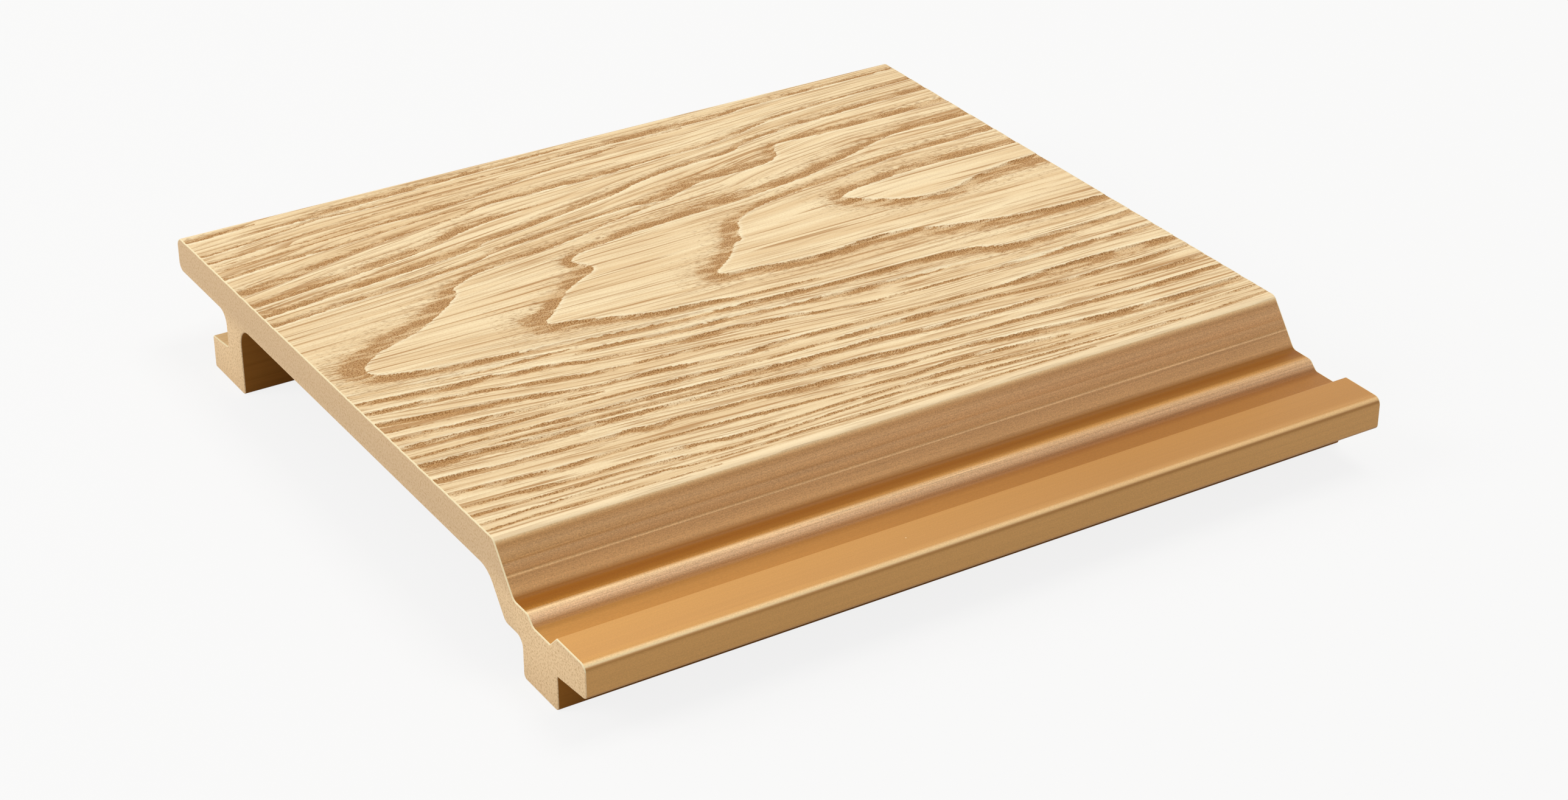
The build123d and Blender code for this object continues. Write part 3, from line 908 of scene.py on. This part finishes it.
@dataclass
class GrainedPanel:
    """The panel itself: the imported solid, cut into a fine mesh on its face and pressed with grain.

    Sizes are in millimetres, and directions are the upward part of a face's normal.
    """

    node: str = "wall_panel"
    arris: float = 0.2
    arris_segments: int = 3
    merge: float = 0.001
    flat_angle: float = 0.05
    smooth_angle: float = 40.0
    slack: float = 0.01
    cuts_across: tuple[int, int] = (14, 24)
    cuts_along: tuple[int, int] = (9, 24)
    whole_edge: float = 0.9
    border: float = 1.4
    end_share: float = 0.25
    line_depth: float = 0.34
    least_depth: float = 0.001
    rounding: float = 1.3
    calm_middle: float = 57.0
    calm_width: float = 14.0
    calm_core: float = 0.3
    groove_from: float = 56.7
    groove_base: float = 0.5
    tongue_front: float = 1.0
    face_corner: float = 2.0
    end_on: float = 0.999
    arris_up: float = 0.15
    corner_up: float = 0.72
    face_up: float = 0.1
    slope_up: float = 0.05
    under_tongue: float = -0.85
    grain: GrainField = field(default_factory=GrainField)
    piece: Object = field(init=False)
    low: Vector = field(init=False)
    high: Vector = field(init=False)
    front: float = field(init=False)
    back: float = field(init=False)

    def build(self) -> Object:
        """Make, press and dress the panel.

        Returns:
            The finished piece.
        """
        self.copy_solid()
        self.ease_ends()
        self.grid_face()
        self.press_grain()
        self.dress()
        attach(self.piece, "root")
        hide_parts(self.node)
        return self.piece

    def copy_solid(self) -> None:
        """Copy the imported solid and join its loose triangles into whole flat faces."""
        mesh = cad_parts[self.node].data.copy()
        mesh.materials.clear()
        self.piece = bpy.data.objects.new("grained_panel", mesh)
        bpy.context.scene.collection.objects.link(self.piece)
        edit(self.piece, "FACE")
        bpy.ops.mesh.customdata_custom_splitnormals_clear()
        bpy.ops.mesh.select_all(action="SELECT")
        bpy.ops.mesh.remove_doubles(threshold=self.merge * MM)
        bpy.ops.mesh.dissolve_limited(angle_limit=math.radians(self.flat_angle))
        bpy.ops.object.mode_set(mode="OBJECT")
        self.low, self.high = (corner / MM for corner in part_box(self.node))

    def ease_ends(self) -> None:
        """Round the two sawn outlines by the little that a burr leaves."""
        edit(self.piece, "EDGE")
        ends = (self.low.x * MM, self.high.x * MM)
        select(self.piece, "edges", lambda edge: any(
            all(abs(vertex.co.x - end) < self.merge * MM for vertex in edge.verts) for end in ends))
        bpy.ops.mesh.bevel(offset=self.arris * MM, segments=self.arris_segments, affect="EDGES")
        bpy.ops.object.mode_set(mode="OBJECT")

    def on_face(self, point: Vector) -> bool:
        """Whether a point lies on the flat of the grained face, its eased ends included."""
        lowest = self.high.z - self.arris - self.merge
        return point.z > lowest * MM and self.back > point.y > self.front

    def grid_face(self) -> None:
        """Cut the flat of the face into a fine grid."""
        flat = max(self.piece.data.polygons, key=lambda polygon: polygon.area * (polygon.normal.z > 0.99))
        places = [self.piece.data.vertices[index].co.y for index in flat.vertices]
        slack = self.slack * MM
        self.front, self.back = min(places) - slack, max(places) + slack
        edit(self.piece, "EDGE")
        rows = self.split(1, self.back - self.front - 4 * slack, self.cuts_across)
        columns = self.split(0, (self.high.x - self.low.x - 3 * self.arris) * MM, self.cuts_along)
        bpy.ops.object.mode_set(mode="OBJECT")
        log.info("face cut into %d rows and %d columns", rows, columns)

    def split(self, axis: int, length: float, rounds: tuple[int, int]) -> int:
        """Cut the face's whole edges one way into equal parts, and then each part again.

        Args:
            axis: The edges' direction: 0 is along and 1 is across.
            length: A little less than the length of a whole edge, in metres.
            rounds: How many cuts each round makes.

        Returns:
            How many parts there are.
        """
        parts = 1
        for cuts in rounds:
            least = self.whole_edge * length / parts
            select(self.piece, "edges", lambda edge: all(self.on_face(v.co) for v in edge.verts)
                   and abs(edge.verts[0].co[axis] - edge.verts[1].co[axis]) > least)
            bpy.ops.mesh.subdivide(number_cuts=cuts)
            parts *= cuts + 1
        return parts

    def press_grain(self) -> None:
        """Press the growth lines into the face and note them for the finish."""
        mesh = self.piece.data
        corners = np.empty(len(mesh.vertices) * 3)
        mesh.vertices.foreach_get("co", corners)
        corners = corners.reshape(-1, 3) / MM
        places = np.stack([corners[:, 0] - self.low.x, self.high.y - corners[:, 1]], 1)
        shown = corners[:, 2] > self.high.z - self.rounding
        flat = np.array([self.on_face(vertex.co) for vertex in mesh.vertices])
        imprint = self.grain.press(places[shown])
        from_side = np.minimum(places[:, 1] - (self.high.y - self.back / MM),
                               (self.high.y - self.front / MM) - places[:, 1])
        from_end = np.minimum(places[:, 0], self.high.x - self.low.x - places[:, 0])
        depth = np.zeros(len(places))
        depth[shown] = imprint.depth
        depth *= flat * np.clip(from_side / self.border, 0, 1)
        depth *= np.clip(from_end / self.border, self.end_share, 1)
        group = self.piece.vertex_groups.new(name="growth_lines")
        for index in np.flatnonzero(depth > self.least_depth):
            group.add([int(index)], float(depth[index]), "REPLACE")
        from_calm = np.abs(places[shown, 1] - self.calm_middle) / self.calm_width
        self.note("growth", shown, imprint.gate, imprint.share, imprint.edge)
        self.note("fibre", shown, self.grain.fibre(places[shown]), np.clip(from_calm - self.calm_core, 0, 1))
        press = self.piece.modifiers.new("press", "DISPLACE")
        press.vertex_group = group.name
        press.direction = "Z"
        press.mid_level = 0.0
        press.strength = -self.line_depth * MM
        bpy.context.view_layer.objects.active = self.piece
        bpy.ops.object.modifier_apply(modifier=press.name)

    def note(self, name: str, shown: np.ndarray, *values: np.ndarray) -> None:
        """Keep up to three values for each vertex as an attribute that the finish reads.

        Args:
            name: The attribute's name.
            shown: Which vertices have values. The others are as far from a line as can be.
            *values: One value for each of these.
        """
        noted = np.full((len(shown), 3), -self.grain.reach, np.float32)
        noted[shown, :len(values)] = np.stack(values, 1)
        attribute = self.piece.data.attributes.new(name, "FLOAT_VECTOR", "POINT")
        attribute.data.foreach_set("vector", noted.ravel())

    def dress(self) -> None:
        """Give each part of the surface its finish and smooth the shading."""
        # The groove under the lip is painted much paler than the back's skin: painted light, for light that
        # reaches in under the lip
        groove_painted_light = PlainSkin(name="composite_groove_painted_light", amber="#EBCB98", streak="#D0A872")
        # The eased outline of each end is painted pale on its upward faces: a painted highlight
        arris_highlight = "#F8E6BC"
        arris = SawnEnd(name="sawn_composite_arris_highlight", low_flour=arris_highlight, high_shaded_flour=arris_highlight, fleck="#F2DCAA")
        finishes = (
            (PlainSkin(), lambda face: True),
            (groove_painted_light, self.is_groove),
            (MouldedSkin(), self.is_front_moulding),
            (EmbossedFace(), self.is_embossed),
            (SawnEnd(), lambda face: abs(face.normal.x) > self.end_on or self.is_arris(face)),
            # painted highlight on the upward faces of the eased outlines
            (arris, lambda face: self.is_arris(face) and face.normal.z > self.arris_up),
        )
        for finish, _ in finishes:
            self.piece.data.materials.append(finish.make())
        edit(self.piece, "FACE")
        for slot, (_, wanted) in enumerate(finishes):
            select(self.piece, "faces", wanted)
            self.piece.active_material_index = slot
            bpy.ops.object.material_slot_assign()
        bpy.ops.object.mode_set(mode="OBJECT")
        bpy.ops.object.shade_smooth_by_angle(angle=math.radians(self.smooth_angle))

    def is_arris(self, face: bmesh.types.BMFace) -> bool:
        """Whether a face belongs to the eased outline of an end."""
        inner = (self.high.x - self.arris - self.slack) * MM
        reach = [vertex.co.x for vertex in face.verts]
        return (min(reach) > inner or max(reach) < -inner) and abs(face.normal.x) <= self.end_on

    def is_embossed(self, face: bmesh.types.BMFace) -> bool:
        """Whether a face is on the grained top or on the upper half of its rounded sides."""
        centre = face.calc_center_median()
        least = self.face_up if self.back > centre.y > self.front else self.corner_up
        return centre.z >= (self.high.z - self.rounding) * MM and face.normal.z > least

    def is_front_moulding(self, face: bmesh.types.BMFace) -> bool:
        """Whether a face is on the moulded side that shows: slope, ledge, channel or tongue."""
        across = face.calc_center_median().y
        upward = face.normal.z > self.slope_up and across < self.front + self.face_corner * MM
        on_tongue_front = across < (self.low.y + self.tongue_front) * MM
        return upward or (on_tongue_front and face.normal.z > self.under_tongue)

    def is_groove(self, face: bmesh.types.BMFace) -> bool:
        """Whether a face is in the groove under the lip, between the lip and the foot, or on the lip."""
        centre = face.calc_center_median()
        return centre.y > self.groove_from * MM and centre.z > self.groove_base * MM


@dataclass(frozen=True)
class Softbox:
    """One square softbox that points at the panel, in metres and watts."""

    name: str
    place: tuple[float, float, float]
    size: float
    power: float

    def hang(self) -> None:
        """Add the lamp to the scene."""
        lamp = bpy.data.lights.new(self.name, "AREA")
        lamp.size = self.size
        lamp.energy = self.power
        holder = bpy.data.objects.new(self.name, lamp)
        holder.location = self.place
        holder.rotation_euler = (-Vector(self.place)).to_track_quat("-Z", "Y").to_euler()
        bpy.context.scene.collection.objects.link(holder)


@dataclass
class Studio:
    """The pale floor, the soft lights and the camera.

    The camera's place is in millimetres and its angles are in degrees. The floor's side is
    in metres, and it lies a hair under the panel, in millimetres, so that the two don't mix.
    """

    lens: float = 71.97
    sensor: float = 36.0
    nearest: float = 10.0
    camera_place: tuple[float, float, float] = (-260.9, -425.4, 275.3)
    azimuth: float = -32.06
    elevation: float = 28.91
    paper: str = "#D2D0CC"
    paper_glow: float = 0.85
    floor_side: float = 6.0
    floor_gap: float = 0.02
    room_light: float = 0.48
    softboxes: tuple[Softbox, ...] = (
        Softbox("left_softbox", (-1.10, 0.40, 0.80), 0.7, 8.0),
        Softbox("overhead_softbox", (0.45, 0.05, 1.30), 0.6, 7.5))

    def build(self) -> None:
        """Set up everything that isn't the panel."""
        self.place_camera()
        self.lay_floor()
        for softbox in self.softboxes:
            softbox.hang()
        self.light_room()
        bpy.context.scene.view_settings.view_transform = "Standard"

    def place_camera(self) -> None:
        """Put the camera where the photograph was taken from."""
        camera = bpy.data.objects.new("camera", bpy.data.cameras.new("camera"))
        bpy.context.scene.collection.objects.link(camera)
        camera.data.lens = self.lens
        camera.data.sensor_width = self.sensor
        camera.data.clip_start = self.nearest * MM
        camera.location = Vector(self.camera_place) * MM
        turn, drop = math.radians(self.azimuth), math.radians(self.elevation)
        sight = Vector((-math.sin(turn) * math.cos(drop), math.cos(turn) * math.cos(drop), -math.sin(drop)))
        camera.rotation_euler = sight.to_track_quat("-Z", "Y").to_euler()
        bpy.context.scene.camera = camera

    def lay_floor(self) -> None:
        """Add the floor, which looks white and keeps the panel's shadow."""
        bpy.ops.object.select_all(action="DESELECT")
        bpy.ops.mesh.primitive_plane_add(size=self.floor_side, location=(0, 0, -self.floor_gap * MM))
        floor = bpy.context.active_object
        floor.name = "floor"
        material = bpy.data.materials.new("white_paper")
        material.use_nodes = True
        tree = material.node_tree
        tree.nodes.clear()
        paper = add_node(tree, "BsdfDiffuse", {"Color": linear_colour(self.paper)})
        glow = add_node(tree, "Emission", {"Color": WHITE, "Strength": 1.0})
        share = add_node(tree, "Math", (self.seen(tree), self.paper_glow), operation="MULTIPLY")
        both = add_node(tree, "MixShader", (share, paper, glow))
        add_node(tree, "OutputMaterial", {"Surface": both})
        floor.data.materials.append(material)

    def seen(self, tree: NodeTree) -> Node:
        """One for a ray that the camera sees, straight, in a reflection or through glass.

        Args:
            tree: The tree that gets the nodes.

        Returns:
            The node with the answer.
        """
        rays = add_node(tree, "LightPath").outputs
        mirrored = add_node(tree, "Math", (
            rays["Is Glossy Ray"], rays["Is Transmission Ray"]), operation="MAXIMUM")
        return add_node(tree, "Math", (rays["Is Camera Ray"], mirrored), operation="MAXIMUM")

    def light_room(self) -> None:
        """Add the room's own light, which looks white and is softer on the panel."""
        world = bpy.data.worlds.new("studio")
        bpy.context.scene.world = world
        world.use_nodes = True
        tree = world.node_tree
        tree.nodes.clear()
        strength = add_node(tree, "MapRange", {
            "Value": self.seen(tree), "To Min": self.room_light, "To Max": 1.0})
        sky = add_node(tree, "Background", {"Color": WHITE, "Strength": strength})
        add_node(tree, "OutputWorld", {"Surface": sky})


def main() -> None:
    """Build the studio and the panel, and report each piece."""
    logging.basicConfig(level=logging.INFO, format="%(message)s")
    Studio().build()
    panel = GrainedPanel().build()
    triangles = sum(len(polygon.vertices) - 2 for polygon in panel.data.polygons)
    log.info("%s: %d vertices, %d triangles", panel.name, len(panel.data.vertices), triangles)


if __name__ == "__main__":
    main()
